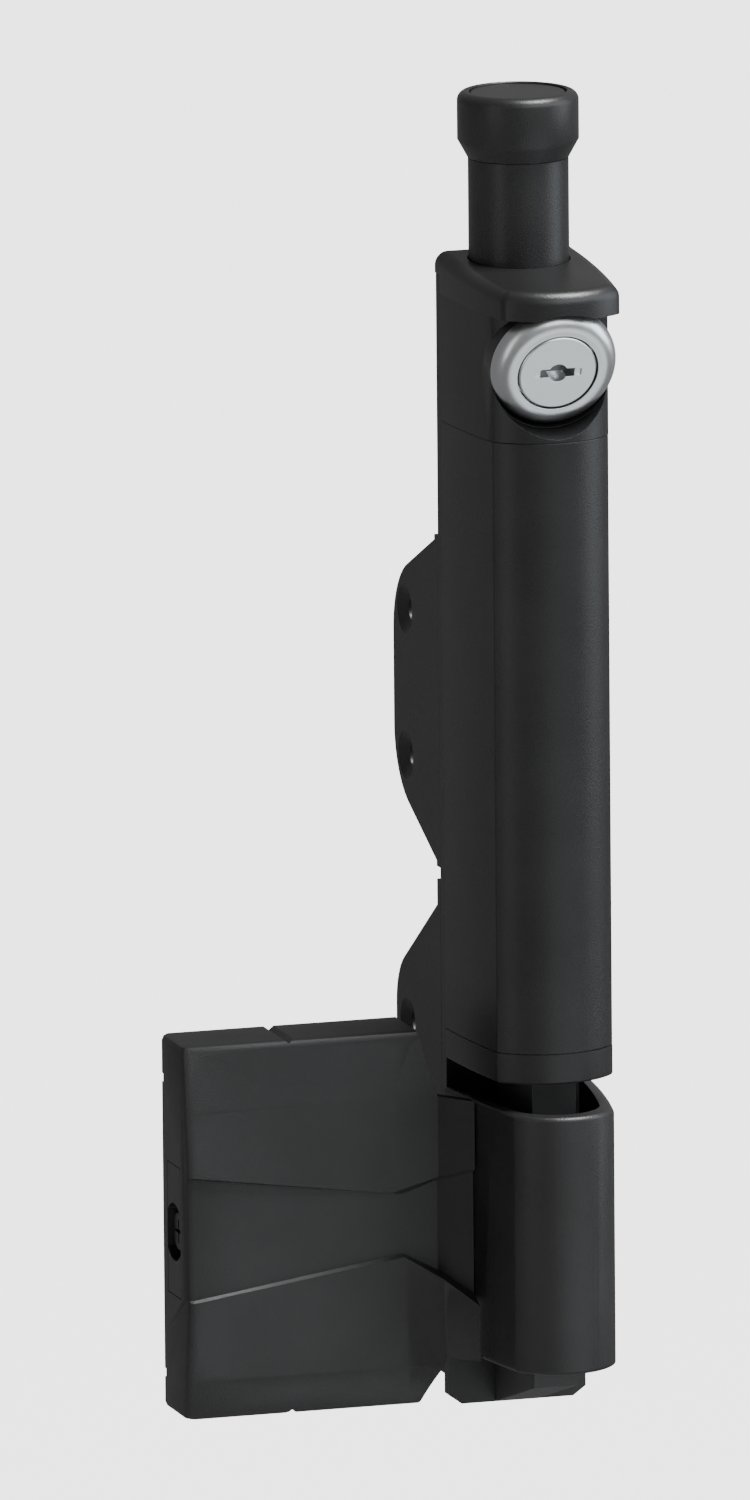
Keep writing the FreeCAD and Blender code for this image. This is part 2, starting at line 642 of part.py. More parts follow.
fin_body = new_body("fin_body")
sketch = sketch_on(fin_body, "YZ_Plane")
outline(sketch, [
    ("rail_front", "fin_top"),
    ("fin_front", "fin_top"),
    ("fin_front", "window_top"),
    ("window_back", "window_top"),
    ("window_back", "window_foot"),
    ("fin_front", "window_foot"),
    ("fin_front", "fin_foot"),
    ("rail_front", "rail_foot"),
])
pad(fin_body, sketch, "fin_width", symmetric=True)
sketch = sketch_on(fin_body, "XY_Plane", "fin_top")
circle(sketch, "0", "pin_line", "pin_radius + pin_gap")
pocket(fin_body, sketch, "fin_top - window_top")
latch_fin = cut("latch_fin", fin_body, rail_screw_holes)

# Main tube: a channel with a curved front, between the collar and the cap. Its back is open
# between two lips, where the rail closes it, so that shaft and fin can lie against the rail.

tube_body = new_body("tube_body")
sketch = sketch_on(tube_body, "XY_Plane", "tube_foot")
section(sketch)
pad(tube_body, sketch, "tube_length")
sketch = sketch_on(tube_body, "XY_Plane", "tube_top")
section(sketch, "tube_wall")
pocket(tube_body, sketch)
sketch = sketch_on(tube_body, "XY_Plane", "tube_top")
box_outline(sketch, "-slot_half", "slot_half", "rail_front - tube_wall - 1", "rail_front + 1")
pocket(tube_body, sketch)
main_tube = cut("main_tube", tube_body, rail_screw_holes)

# Bottom collar: closes the tube round the fin, with a spigot that enters the tube.

collar_body = new_body("collar_body")
sketch = sketch_on(collar_body, "XY_Plane", "collar_foot")
section(sketch)
pad(collar_body, sketch, "collar_height")
dress(collar_body, "Fillet", "collar_edge",
      lambda edge: level(edge, "collar_foot") and edge.BoundBox.YMin < number("rail_front") - 1)
sketch = sketch_on(collar_body, "XY_Plane", "tube_foot")
section(sketch, "(tube_wall + fit_gap)")
pad(collar_body, sketch, "spigot_height")
sketch = sketch_on(collar_body, "XY_Plane", "tube_foot + spigot_height")
box_outline(sketch, "-(fin_width / 2 + fit_gap)", "fin_width / 2 + fit_gap",
            "fin_front - fit_gap", "rail_front + tube_wall")
pocket(collar_body, sketch)
bottom_collar = cut("bottom_collar", collar_body, rail_screw_holes)

# Top cap: carries on the tube's section, slopes to the front and ends in a brow over the
# lock. The part of it in front of a leaning seam is the separate lock face.

SEAM_SLOPE = "tan(seam_lean * 1 deg)"
seam_at_tube = "rail_front - seam_depth"
seam_at_brow = f"rail_front - seam_depth - brow_rise * {SEAM_SLOPE}"
far_front = "brow_front - 20"

cap_body = new_body("cap_body")
sketch = sketch_on(cap_body, "XY_Plane", "tube_top")
section(sketch)
pad(cap_body, sketch, "cap_height")
sketch = sketch_on(cap_body, "XY_Plane", "rail_top + fit_gap")
box_outline(sketch, "-section_back_width / 2", "section_back_width / 2",
            "rail_front", "rail_back")
pad(cap_body, sketch, "cap_roof - fit_gap")
sketch = sketch_on(cap_body, "XY_Plane", "brow_foot")
outline(sketch, [
    ("-section_back_width / 2", "rail_front", "section_side_bulge * 1.7"),
    ("-brow_front_width / 2", "section_corner - brow_reach * 1.2", "section_crown * 0.8"),
    ("brow_front_width / 2", "section_corner - brow_reach * 1.2", "section_side_bulge * 1.7"),
    ("section_back_width / 2", "rail_front"),
])
pad(cap_body, sketch, "cap_height - brow_rise")
sketch = sketch_on(cap_body, "YZ_Plane")
outline(sketch, [
    ("rail_back + 1", "cap_top + 5"),
    (far_front, "cap_top + 5"),
    (far_front, "cap_top - cap_drop * (rail_back - brow_front + 20) / (rail_back - brow_front)"),
    ("rail_back", "cap_top"),
    ("rail_back + 1", "cap_top"),
])
pocket(cap_body, sketch, symmetric=True)
dress(cap_body, "Fillet", "brow_corner",
      lambda edge: upright(edge, "brow_front_width / 2", "section_corner - brow_reach * 1.2"))


def on_cap_top(edge):
    """Edges round the sloped top, apart from the one at its back."""
    slope = number("cap_drop / (rail_back - brow_front)")
    heights = [number("cap_top") - slope * (number("rail_back") - end.Point.y) for end in edge.Vertexes]
    lies = all(abs(end.Point.z - height) < 1e-3 for end, height in zip(edge.Vertexes, heights))
    return lies and edge.BoundBox.YMin < number("rail_back") - 0.01


dress(cap_body, "Fillet", "cap_edge", on_cap_top)
sketch = sketch_on(cap_body, "YZ_Plane")
outline(sketch, [
    (seam_at_tube, "tube_top - 1"),
    (seam_at_tube, "tube_top"),
    (seam_at_brow, "brow_foot"),
    (far_front, "brow_foot"),
    (far_front, "tube_top - 1"),
])
pocket(cap_body, sketch, symmetric=True)
sketch = sketch_on(cap_body, "XY_Plane", "cap_top")
shaft_outline(sketch, "shaft_gap", "shaft_standoff - shaft_gap")
pocket(cap_body, sketch)

# Tools for the lock: the scoop in front of it, its seat, and the room behind for the nut.

scoop = lock_cylinder("scoop", "scoop_radius", "scoop_start", "scoop_start + 30", "scoop_tilt")
seat_recess = lock_cylinder("seat_recess", "bezel_radius + bezel_gap", "0", "bezel_height * 0.8")
boss_room = lock_cylinder("boss_room", "bezel_radius + bezel_gap", "-lock_boss_depth", "bezel_height * 0.8")
barrel_bore = lock_cylinder("barrel_bore", "barrel_radius + fit_gap", "-barrel_length - 8", "1")
nut_bore = lock_cylinder("nut_bore", "nut_room", "-barrel_length - 6", "-nut_depth")
top_cap = cut("top_cap", cap_body, boss_room, scoop, nut_bore, rail_screw_holes)

# Lock face: the front of the cap below the brow, with a round boss that backs the bezel.

face_body = new_body("face_body")
sketch = sketch_on(face_body, "XY_Plane", "tube_top")
section(sketch)
pad(face_body, sketch, "brow_rise")
sketch = sketch_on(face_body, "YZ_Plane")
outline(sketch, [
    ("rail_back + 1", "brow_foot + 1"),
    (f"({seam_at_brow}) - {SEAM_SLOPE}", "brow_foot + 1"),
    (f"({seam_at_tube}) + {SEAM_SLOPE}", "tube_top - 1"),
    ("rail_back + 1", "tube_top - 1"),
])
pocket(face_body, sketch, symmetric=True)
boss = lock_cylinder("boss", "bezel_radius", "-lock_boss_depth + fit_gap", "0")
face_with_boss = fuse("face_with_boss", face_body, boss)
lock_face = cut("lock_face", face_with_boss, scoop, seat_recess, barrel_bore, nut_bore)

# Lock: a domed bezel, a barrel held by a nut, and a turning plug with its cam.

bezel = new_body("lock_bezel")
sketch = sketch_on(bezel, "XZ_Plane")
outline(sketch, [
    ("barrel_radius + fit_gap", "0"),
    ("bezel_radius", "0"),
    ("bezel_radius", "bezel_rim", "bezel_dome"),
    ("plug_radius + plug_gap + bezel_lip", "bezel_height"),
    ("plug_radius + plug_gap", "bezel_height"),
    ("plug_radius + plug_gap", "bezel_height - plug_face - barrel_flange - fit_gap"),
    ("barrel_radius + fit_gap", "bezel_height - plug_face - barrel_flange - fit_gap"),
])
revolve(bezel, sketch)
on_lock(bezel)

flange_foot = "bezel_height - plug_face - barrel_flange - fit_gap"
barrel = new_body("lock_barrel")
sketch = sketch_on(barrel, "XZ_Plane")
outline(sketch, [
    ("plug_stem + fit_gap", "-barrel_length"),
    ("barrel_radius", "-barrel_length"),
    ("barrel_radius", flange_foot),
    ("plug_radius", flange_foot),
    ("plug_radius", f"{flange_foot} + barrel_flange"),
    ("plug_stem + fit_gap", f"{flange_foot} + barrel_flange"),
])
revolve(barrel, sketch)
on_lock(barrel)

nut = new_body("lock_nut")
sketch = sketch_on(nut, "XY_Plane", "-nut_depth - nut_thickness")
half_flat = "nut_width / 2"
half_side = "nut_width / 2 * tan(30 deg)"
outline(sketch, [
    ("nut_width / 2 / cos(30 deg)", "0"),
    (half_side, half_flat),
    (f"-({half_side})", half_flat),
    ("-nut_width / 2 / cos(30 deg)", "0"),
    (f"-({half_side})", f"-{half_flat}"),
    (half_side, f"-{half_flat}"),
])
pad(nut, sketch, "nut_thickness")
sketch = sketch_on(nut, "XY_Plane", "-nut_depth")
circle(sketch, "0", "0", "barrel_radius + 0.05")
pocket(nut, sketch)
on_lock(nut)

plug = new_body("lock_plug")
tail_foot = "-barrel_length - fit_gap - cam_thickness"
sketch = sketch_on(plug, "XZ_Plane")
outline(sketch, [
    ("0", tail_foot),
    ("tail_radius", tail_foot),
    ("tail_radius", "-barrel_length - fit_gap"),
    ("plug_stem", "-barrel_length - fit_gap"),
    ("plug_stem", "bezel_height - plug_face"),
    ("plug_radius", "bezel_height - plug_face"),
    ("plug_radius", "bezel_height - plug_gap"),
    ("plug_radius - plug_gap", "bezel_height"),
    ("0", "bezel_height"),
])
revolve(plug, sketch)
sketch = sketch_on(plug, "XY_Plane", "bezel_height")
box_outline(sketch, "-keyway_step_length / 2", "keyway_step_length / 2",
            "-keyway_step_width / 2", "keyway_step_width / 2")
pocket(plug, sketch, "keyway_step_depth")
sketch = sketch_on(plug, "XY_Plane", "bezel_height")
box_outline(sketch, "-keyway_length / 2", "keyway_length / 2", "-keyway_width / 2", "keyway_width / 2")
pocket(plug, sketch, "keyway_depth")
sketch = sketch_on(plug, "XY_Plane", "bezel_height")
circle(sketch, "0", "0", "keyway_round")
pocket(plug, sketch, "keyway_depth * 0.5")
sketch = sketch_on(plug, "XY_Plane", tail_foot)
circle(sketch, "0", "0", "screw_radius * 0.75 + screw_gap")
pocket(plug, sketch, "6.5", along_normal=True)
on_lock(plug)

cam = new_body("lock_cam")
sketch = sketch_on(cam, "XY_Plane", tail_foot)
circle(sketch, "0", "0", "cam_hub")
pad(cam, sketch, "cam_thickness")
sketch = sketch_on(cam, "XY_Plane", tail_foot)
outline(sketch, [
    ("-(cam_reach - cam_width / 2)", "-cam_width / 2"),
    ("0", "-cam_width / 2"),
    ("0", "cam_width / 2"),
    ("-(cam_reach - cam_width / 2)", "cam_width / 2", "cam_width / 2 - 0.01"),
])
pad(cam, sketch, "cam_thickness")
sketch = sketch_on(cam, "XY_Plane", f"{tail_foot} + cam_thickness")
circle(sketch, "0", "0", "tail_radius + 0.05")
pocket(cam, sketch)
on_lock(cam)

cam_screw = new_body("cam_screw")
sketch = sketch_on(cam_screw, "XZ_Plane")
outline(sketch, [
    ("0", f"{tail_foot} - 1.6"),
    ("screw_radius * 1.1", f"{tail_foot} - 1.6"),
    ("screw_radius * 2.1", f"{tail_foot} - 0.8"),
    ("screw_radius * 2.1", tail_foot),
    ("screw_radius * 0.75", tail_foot),
    ("screw_radius * 0.75", f"{tail_foot} + 6"),
    ("0", f"{tail_foot} + 6"),
])
revolve(cam_screw, sketch)
sketch = sketch_on(cam_screw, "XY_Plane", f"{tail_foot} - 1.6")
box_outline(sketch, "-screw_radius * 2.2", "screw_radius * 2.2", "-screw_slot / 2", "screw_slot / 2")
pocket(cam_screw, sketch, "0.8", along_normal=True)
on_lock(cam_screw)

# Guide bush in the tube's mouth, and the rod guide half way down the tube.

bush = new_body("shaft_bush")
sketch = sketch_on(bush, "XY_Plane", "tube_top - bush_height")
section(sketch, "(tube_wall + fit_gap)")
pad(bush, sketch, "bush_height")
sketch = sketch_on(bush, "XY_Plane", "tube_top")
shaft_outline(sketch, "shaft_gap")
pocket(bush, sketch)

guide_body = new_body("guide_body")
sketch = sketch_on(guide_body, "XY_Plane", "guide_foot")
section(sketch, "(tube_wall + fit_gap)")
pad(guide_body, sketch, "guide_height")
sketch = sketch_on(guide_body, "XY_Plane", "guide_foot")
box_outline(sketch, "-(slot_half - fit_gap)", "slot_half - fit_gap", "rail_front - tube_wall - 1",
            "rail_front")
pad(guide_body, sketch, "guide_height")
sketch = sketch_on(guide_body, "XY_Plane", "guide_foot + guide_height")
circle(sketch, "0", "rod_line", "rod_radius + pin_gap")
pocket(guide_body, sketch)
rod_guide = cut("rod_guide", guide_body, rail_screw_holes)

# Lifting knob: a shaft with a curved front, a flared head, and a lid over its screw.

shaft = new_body("knob_shaft")
sketch = sketch_on(shaft, "XY_Plane", "shaft_foot")
shaft_outline(sketch)
pad(shaft, sketch, "neck_top - shaft_foot")
dress(shaft, "Fillet", "shaft_edge", lambda edge: upright(edge, shaft_half(), "shaft_back"))
sketch = sketch_on(shaft, "YZ_Plane")
box_outline(sketch, "knob_axis - shaft_radius - 1", "rail_front - notch_depth",
            "tube_top + notch_low", "tube_top + notch_high")
pocket(shaft, sketch, symmetric=True)
sketch = sketch_on(shaft, "XY_Plane", "shaft_foot")
circle(sketch, "0", "rod_line", "rod_radius + 0.05")
pocket(shaft, sketch, "rod_grip", along_normal=True)
sketch = sketch_on(shaft, "XY_Plane", "neck_top")
circle(sketch, "0", "rod_line", "screw_radius + screw_gap")
pocket(shaft, sketch, "knob_screw_length / 2")

head = new_body("knob_head")
sketch = sketch_on(head, "XY_Plane", "neck_top")
circle(sketch, "0", "knob_axis", "shaft_radius + flare_growth")
pad(head, sketch, "head_top - neck_top")
dress(head, "Chamfer", "flare_height", lambda edge: level(edge, "neck_top"), second="flare_growth")
dress(head, "Fillet", "head_edge", lambda edge: level(edge, "head_top"))
lid_floor = "head_top - lid_sunk - lid_thickness"
sketch = sketch_on(head, "XY_Plane", "head_top")
circle(sketch, "0", "knob_axis", "shaft_radius + flare_growth - lid_inset")
pocket(head, sketch, "lid_sunk + lid_thickness")
sketch = sketch_on(head, "XY_Plane", lid_floor)
circle(sketch, "0", "rod_line", "screw_head + screw_gap")
pocket(head, sketch, "knob_screw_sink")
sketch = sketch_on(head, "XY_Plane", lid_floor)
circle(sketch, "0", "rod_line", "screw_radius + screw_gap")
pocket(head, sketch)

lid = new_body("knob_lid")
sketch = sketch_on(lid, "XY_Plane", lid_floor)
circle(sketch, "0", "knob_axis", "shaft_radius + flare_growth - lid_inset - lid_gap")
pad(lid, sketch, "lid_thickness")
dress(lid, "Chamfer", "0.4", lambda edge: level(edge, f"{lid_floor} + lid_thickness"))

knob_screw = new_body("knob_screw")
sketch = sketch_on(knob_screw, "XZ_Plane")
outline(sketch, [
    ("0", "-knob_screw_length"),
    ("screw_radius", "-knob_screw_length"),
    ("screw_radius", "0"),
    ("screw_head", "0"),
    ("screw_head", "knob_screw_head"),
    ("0", "knob_screw_head"),
])
revolve(knob_screw, sketch)
sketch = sketch_on(knob_screw, "XY_Plane", "knob_screw_head")
box_outline(sketch, "-screw_slot * 2.4", "screw_slot * 2.4", "-screw_slot / 2", "screw_slot / 2")
pocket(knob_screw, sketch, "screw_slot_depth")
sketch = sketch_on(knob_screw, "XY_Plane", "knob_screw_head")
box_outline(sketch, "-screw_slot / 2", "screw_slot / 2", "-screw_slot * 2.4", "screw_slot * 2.4")
pocket(knob_screw, sketch, "screw_slot_depth")
place(knob_screw, "0", "rod_line", f"{lid_floor} - knob_screw_sink")

# Pull rod, carrier and latch pin, tied by cross pins: they carry the knob's pull down to
# the pin that drops into the keeper.

rod_body = new_body("rod_body")
sketch = sketch_on(rod_body, "XY_Plane", "carrier_foot")
circle(sketch, "0", "rod_line", "rod_radius")
pad(rod_body, sketch, "shaft_foot + rod_grip - carrier_foot")
dress(rod_body, "Chamfer", "0.5", lambda edge: level(edge, "shaft_foot + rod_grip"))

pin_body = new_body("pin_body")
sketch = sketch_on(pin_body, "XY_Plane", "pin_tip")
circle(sketch, "0", "pin_line", "pin_radius")
pad(pin_body, sketch, "carrier_top - carrier_web - pin_tip")
dress(pin_body, "Chamfer", "pin_nose", lambda edge: level(edge, "pin_tip"))

carrier_body = new_body("carrier_body")
sketch = sketch_on(carrier_body, "XY_Plane", "carrier_foot")
box_outline(sketch, "-carrier_width / 2", "carrier_width / 2",
            "pin_line - pin_radius - carrier_margin", "rod_line + rod_radius + carrier_margin")
pad(carrier_body, sketch, "carrier_height")
dress(carrier_body, "Fillet", "2",
      lambda edge: edge.BoundBox.ZLength > number("carrier_height") * 0.9)
sketch = sketch_on(carrier_body, "XY_Plane", "carrier_top")
circle(sketch, "0", "rod_line", "rod_radius + 0.05")
pocket(carrier_body, sketch)
sketch = sketch_on(carrier_body, "XY_Plane", "carrier_foot")
circle(sketch, "0", "pin_line", "pin_radius + 0.05")
pocket(carrier_body, sketch, "carrier_height - carrier_web", along_normal=True)


def cross_pins(growth=0.0):
    height = number("carrier_foot + carrier_height * 0.45")
    width = number("carrier_width") + 2 * growth
    return [Part.makeCylinder(number("cross_pin") + growth, width,
                              Vector(-width / 2, number(line), height), Vector(1, 0, 0))
            for line in ("rod_line", "pin_line")]


cross_pin_pair = solids("cross_pins", cross_pins())
cross_pin_holes = solids("cross_pin_holes", cross_pins(0.05))
pull_rod = cut("pull_rod", rod_body, cross_pin_holes)
latch_pin = cut("latch_pin", pin_body, cross_pin_holes)
pin_carrier = cut("pin_carrier", carrier_body, cross_pin_holes)

# Return spring on its seat: it stands on the fin round the pin and holds the carrier up.

spring_seat = new_body("spring_seat")
sketch = sketch_on(spring_seat, "XY_Plane", "fin_top")
circle(sketch, "0", "pin_line", "seat_radius")
pad(spring_seat, sketch, "seat_thickness")
sketch = sketch_on(spring_seat, "XY_Plane", "seat_top")
circle(sketch, "0", "pin_line", "pin_radius + pin_gap")
pocket(spring_seat, sketch)

spring = new_body("return_spring")
sketch = sketch_on(spring, "XZ_Plane")
circle(sketch, "spring_radius", "spring_wire / 2", "spring_wire / 2")
helix = spring.newObject("PartDesign::AdditiveHelix", "helix")
helix.Profile = sketch
helix.ReferenceAxis = (sketch, ["V_Axis"])
helix.Mode = "height-turns-angle"
helix.setExpression("Height", formula("spring_length - spring_wire"))
helix.setExpression("Turns", formula("spring_turns"))
place(spring, "0", "pin_line", "seat_top")

# Brackets: bent plates whose front leg lies between the rail and the post, and whose wing
# runs back along the post's side. Each wing has two counterbored holes.


def bracket(label, middle, leg_half, wing_half, slope, corner, spacing):
    body = new_body(f"{label}_body")
    sketch = sketch_on(body, "YZ_Plane", "-rail_width / 2")
    reach = "wing_reach"
    outline(sketch, [
        (reach, f"{middle} - ({wing_half} - {slope})"),
        (reach, f"{middle} + ({wing_half} - {slope})"),
        ("rail_back", f"{middle} + {wing_half}"),
        ("rail_back", f"{middle} - {wing_half}"),
    ])
    pad(body, sketch, "bracket_thickness")
    dress(body, "Fillet", corner, lambda edge: edge.BoundBox.XLength > 0.5
          and edge.BoundBox.YMin > number(reach) - 0.01)
    sketch = sketch_on(body, "XZ_Plane")
    box_outline(sketch, "-rail_width / 2", "bracket_leg_right",
                f"{middle} - {leg_half}", f"{middle} + {leg_half}")
    pad(body, sketch, "bracket_thickness")
    for sign in ("-", "+"):
        sketch = sketch_on(body, "YZ_Plane", "-rail_width / 2")
        circle(sketch, "wing_hole_reach", f"{middle} {sign} {spacing} / 2", "wing_hole / 2")
        pocket(body, sketch, "bracket_thickness + 1", along_normal=True)
    dress(body, "Chamfer", "wing_sink_depth", lambda edge: edge.BoundBox.XLength < 0.01
          and abs(edge.BoundBox.XMin + number("rail_width / 2")) < 1e-3
          and isinstance(edge.Curve, Part.Circle) and edge.isClosed(),
          second="(wing_sink - wing_hole) / 2", flip=True)
    return cut(label, body, bracket_screw_holes)


upper_bracket = bracket("upper_bracket", "bracket_spacing", "upper_half", "upper_half",
                        "upper_slope", "upper_corner", "upper_holes")
lower_bracket = bracket("lower_bracket", "0", "lower_half", "lower_wing_half",
                        "lower_slope", "lower_corner", "lower_holes")

# Striker cover: a faceted shell on the gate, an arm, and a sleeve that rides over the fin.
# The shell is a ruled loft between outlines that follow its creases. Each outline runs from
# the back at the left, round the front and the valley, to the arm and back along the rear.


def cover_outlines(inset=0.0):
    """The loft's outlines from foot to top, drawn in from the outside by inset.

    Without an inset the outer edges are eased by three small steps each."""
    left = -number("cover_left") + inset
    foot = number("cover_foot") + inset
    top = number("cover_top") - inset
    edge = number("edge_depth")
    belly = number("belly_depth")
    valley = number("valley_depth")
    sunk = number("band_sunk")
    dip = number("band_dip")
    step = number("crease_step")
    arm = number("arm_end_depth")
    toe = number("toe_depth")
    toe_arm = number("toe_end_depth")
    near_valley = -number("valley_reach")
    band_valley = near_valley + number("valley_shift")
    bend = number("cover_top - valley_drop")
    upper = [number("cover_foot + upper_crease_" + spot) for spot in ("left", "valley", "arm")]
    lower = [number("cover_foot + lower_crease_" + spot) for spot in ("left", "valley", "arm")]
    toe_height = number("cover_foot + toe_corner_rise")
    toe_part = (toe_height - foot) / (lower[0] - foot)
    bend_part = (top - bend) / (top - upper[0])
    rounding = number("cover_edge")
    trim = 0.0 if inset else rounding
    eased = [] if inset else [(rounding, 0.0), (rounding * 0.3, rounding * 0.3)]
    foot_row = (edge, edge, edge, edge)
    top_row = (edge, edge, edge, arm)
    top_valley = -number("valley_top_reach")
    rows = [([foot + rise] * 3, foot_row, band_valley, shrink) for shrink, rise in eased]
    rows += [
        ([foot + trim] * 3, foot_row, band_valley, 0),
        ([toe_height] * 3, (edge + (belly - edge) * toe_part, number("toe_valley_depth"), toe, toe_arm),
         band_valley, 0),
        (lower, (belly, valley + dip, (valley + toe) / 2, toe_arm), band_valley, 0),
        ([lower[0] + step, lower[1] + step, lower[2] + number("ledge_height")],
         (belly - dip, valley - dip, valley - dip / 2, arm - sunk), band_valley, 0),
        ([upper[0] - step, upper[1] - step, upper[2] - 2 * step],
         (belly - sunk, valley - dip, valley - dip / 2, arm - sunk), band_valley, 0),
        (upper, (belly, valley, valley + dip, arm), near_valley, 0),
        ([bend] * 3, (edge + (belly - edge) * bend_part, valley + dip / 2, valley + dip, arm),
         near_valley, 0),
        ([top - trim] * 3, top_row, top_valley, 0),
    ]
    rows += [([top - rise] * 3, top_row, top_valley, shrink) for shrink, rise in reversed(eased)]
    shoulder = -number("arm_reach")
    end = -number("arm_end")
    flat_end = -number("cover_right")
    rear = number("rail_back")
    near = rear + 1 if inset else rear
    arm_wall = number("arm_wall")
    wires = []
    for heights, depths, valley_x, shrink in rows:
        middle = (heights[1] + heights[2]) / 2
        fronts = [rear - depth + inset + shrink for depth in depths]
        side = left + shrink
        points = [
            Vector(side, near, heights[0]),
            Vector(side, fronts[0] + rounding, heights[0]),
            Vector(side + rounding * 0.3, fronts[0] + rounding * 0.3, heights[0]),
            Vector(side + rounding, fronts[0], heights[0]),
            Vector(valley_x, fronts[1], heights[1]),
            Vector(shoulder, fronts[2], middle),
            Vector(end, fronts[3], heights[2]),
            Vector(end, fronts[3] + arm_wall, heights[2]),
            Vector(shoulder, fronts[2] + arm_wall, middle),
            Vector(flat_end, near, heights[1]),
        ]
        wires.append(Part.makePolygon(points + [points[0]]))
    return wires


def front_prism(corners, near, far):
    """A prism along Y over corners (x, z) of the front view."""
    face = Part.Face(Part.makePolygon([Vector(x, near, z) for x, z in corners + corners[:1]]))
    return face.extrude(Vector(0, far - near, 0))


near_y = number("rail_back")
behind_y = number("rail_back + rail_thickness")
deep_y = number("rail_back - sleeve_corner - sleeve_crown")
front_view = [
    (-number("cover_left"), number("cover_foot")),
    (-number("cover_right"), number("cover_foot")),
    (-number("cover_right - toe_corner_width"), number("cover_foot + toe_corner_rise")),
    (-number("arm_reach"), number("sleeve_foot")),
    (-number("arm_end"), number("sleeve_foot")),
    (-number("arm_end"), number("sleeve_top")),
    (-number("arm_reach"), number("sleeve_top")),
    (-number("cover_right"), number("cover_top")),
    (-number("cover_left"), number("cover_top")),
]
shell = Part.makeLoft(cover_outlines(), True, True)
shell = shell.common(front_prism(front_view, behind_y, deep_y))


cover_shell = doc.addObject("Part::Feature", "cover_shell")
cover_shell.Shape = shell

sleeve_body = new_body("sleeve_body")


def sleeve_outline(sketch, side_wall="0", front_wall="0", back="0"):
    outline(sketch, [
        (f"-(sleeve_back_half - {side_wall})", f"rail_front - sleeve_back + {back}", "sleeve_bulge"),
        (f"-(sleeve_front_half - {side_wall})", f"rail_front - sleeve_corner + {front_wall}",
         "sleeve_crown"),
        (f"sleeve_front_half - {side_wall}", f"rail_front - sleeve_corner + {front_wall}",
         "sleeve_bulge"),
        (f"sleeve_back_half - {side_wall}", f"rail_front - sleeve_back + {back}"),
    ])


sketch = sketch_on(sleeve_body, "XY_Plane", "sleeve_foot")
sleeve_outline(sketch)
pad(sleeve_body, sketch, "sleeve_top - sleeve_foot")
dress(sleeve_body, "Fillet", "sleeve_edge * 2.5",
      lambda edge: upright(edge, "sleeve_front_half", "rail_front - sleeve_corner"))
dress(sleeve_body, "Fillet", "sleeve_edge",
      lambda edge: (level(edge, "sleeve_top") or level(edge, "sleeve_foot"))
      and edge.BoundBox.YMin < number("rail_front - sleeve_back") - 1)
outer_sleeve = fuse("outer_sleeve", cover_shell, sleeve_body)

room_body = new_body("sleeve_room")
sketch = sketch_on(room_body, "XY_Plane", "sleeve_foot - 1")
sleeve_outline(sketch, "sleeve_side_wall", "sleeve_front_wall", "5")
pad(room_body, sketch, "sleeve_top - sleeve_foot + 2")

boss_half = "keeper_width / 2 - 1"
keeper_boss = new_body("keeper_boss")
sketch = sketch_on(keeper_boss, "XY_Plane", "keeper_foot + 3")
box_outline(sketch, f"-({boss_half})", boss_half,
            "rail_front - sleeve_corner - sleeve_front_wall / 2", "keeper_face")
pad(keeper_boss, sketch, "keeper_top - keeper_foot - 6")

wall = number("cover_wall")
hollow = Part.makeLoft(cover_outlines(wall), True, True)
inner_view = [
    (-number("cover_left") + wall, number("cover_foot") + wall),
    (-number("cover_right") - wall * 1.5, number("cover_foot") + wall),
    (-number("cover_right") - wall * 1.5, number("cover_top") - wall),
    (-number("cover_left") + wall, number("cover_top") - wall),
]
hollow = hollow.common(front_prism(inner_view, behind_y, deep_y))
cover_hollow = doc.addObject("Part::Feature", "cover_hollow")
cover_hollow.Shape = hollow


def groove(z, sign):
    x = -number("groove_reach")
    half = number("groove_width") / 2
    depth = number("groove_depth")
    corners = [(x - half, z + sign), (x - half, z), (x, z - sign * depth), (x + half, z),
               (x + half, z + sign)]
    return front_prism(corners, near_y + 1, deep_y)


def side_notch(z):
    size = number("groove_depth")
    corner = Vector(-number("cover_left") - 1, near_y - size, z - size)
    return Part.makeBox(1 + size, size + 1, 2 * size, corner)


marks = solids("cover_marks", [
    groove(number("cover_top"), 1),
    groove(number("cover_foot"), -1),
    side_notch(number("cover_foot + side_notch_top")),
    side_notch(number("cover_foot + side_notch_low")),
])
insert_opening = doc.addObject("Part::Box", "insert_opening")
insert_opening.setExpression("Length", formula("cover_wall + 3"))
insert_opening.setExpression("Width", formula("insert_front - insert_back + 2 * fit_gap"))
insert_opening.setExpression("Height", formula("insert_top - insert_foot + 2 * fit_gap"))
place(insert_opening, "-cover_left - 1", "rail_back - insert_front - fit_gap", "insert_foot - fit_gap")


def keeper_screws(growth=0.0):
    start = number("keeper_back")
    length = number("keeper_back - keeper_face + 4")
    height = number("keeper_foot + keeper_screw_rise")
    return [screw(Vector(side * number("keeper_screw_spread"), start, height), FORWARDS, length,
                  growth, KEEPER_SCREW) for side in (-1, 1)]


keeper_screw_pair = solids("keeper_screws", keeper_screws())
keeper_screw_holes = solids("keeper_screw_holes", keeper_screws(number("screw_gap")))

sleeve_with_room = cut("sleeve_with_room", outer_sleeve, room_body)
sleeve_with_boss = fuse("sleeve_with_boss", sleeve_with_room, keeper_boss)
striker_cover = cut("striker_cover", sleeve_with_boss, cover_hollow, marks, insert_opening,
                    keeper_screw_holes)

# Keeper: a block on the sleeve's boss. The latch pin drops into its square socket, and the
# magnet under the socket pulls the pin down. A lid closes the magnet's pocket.

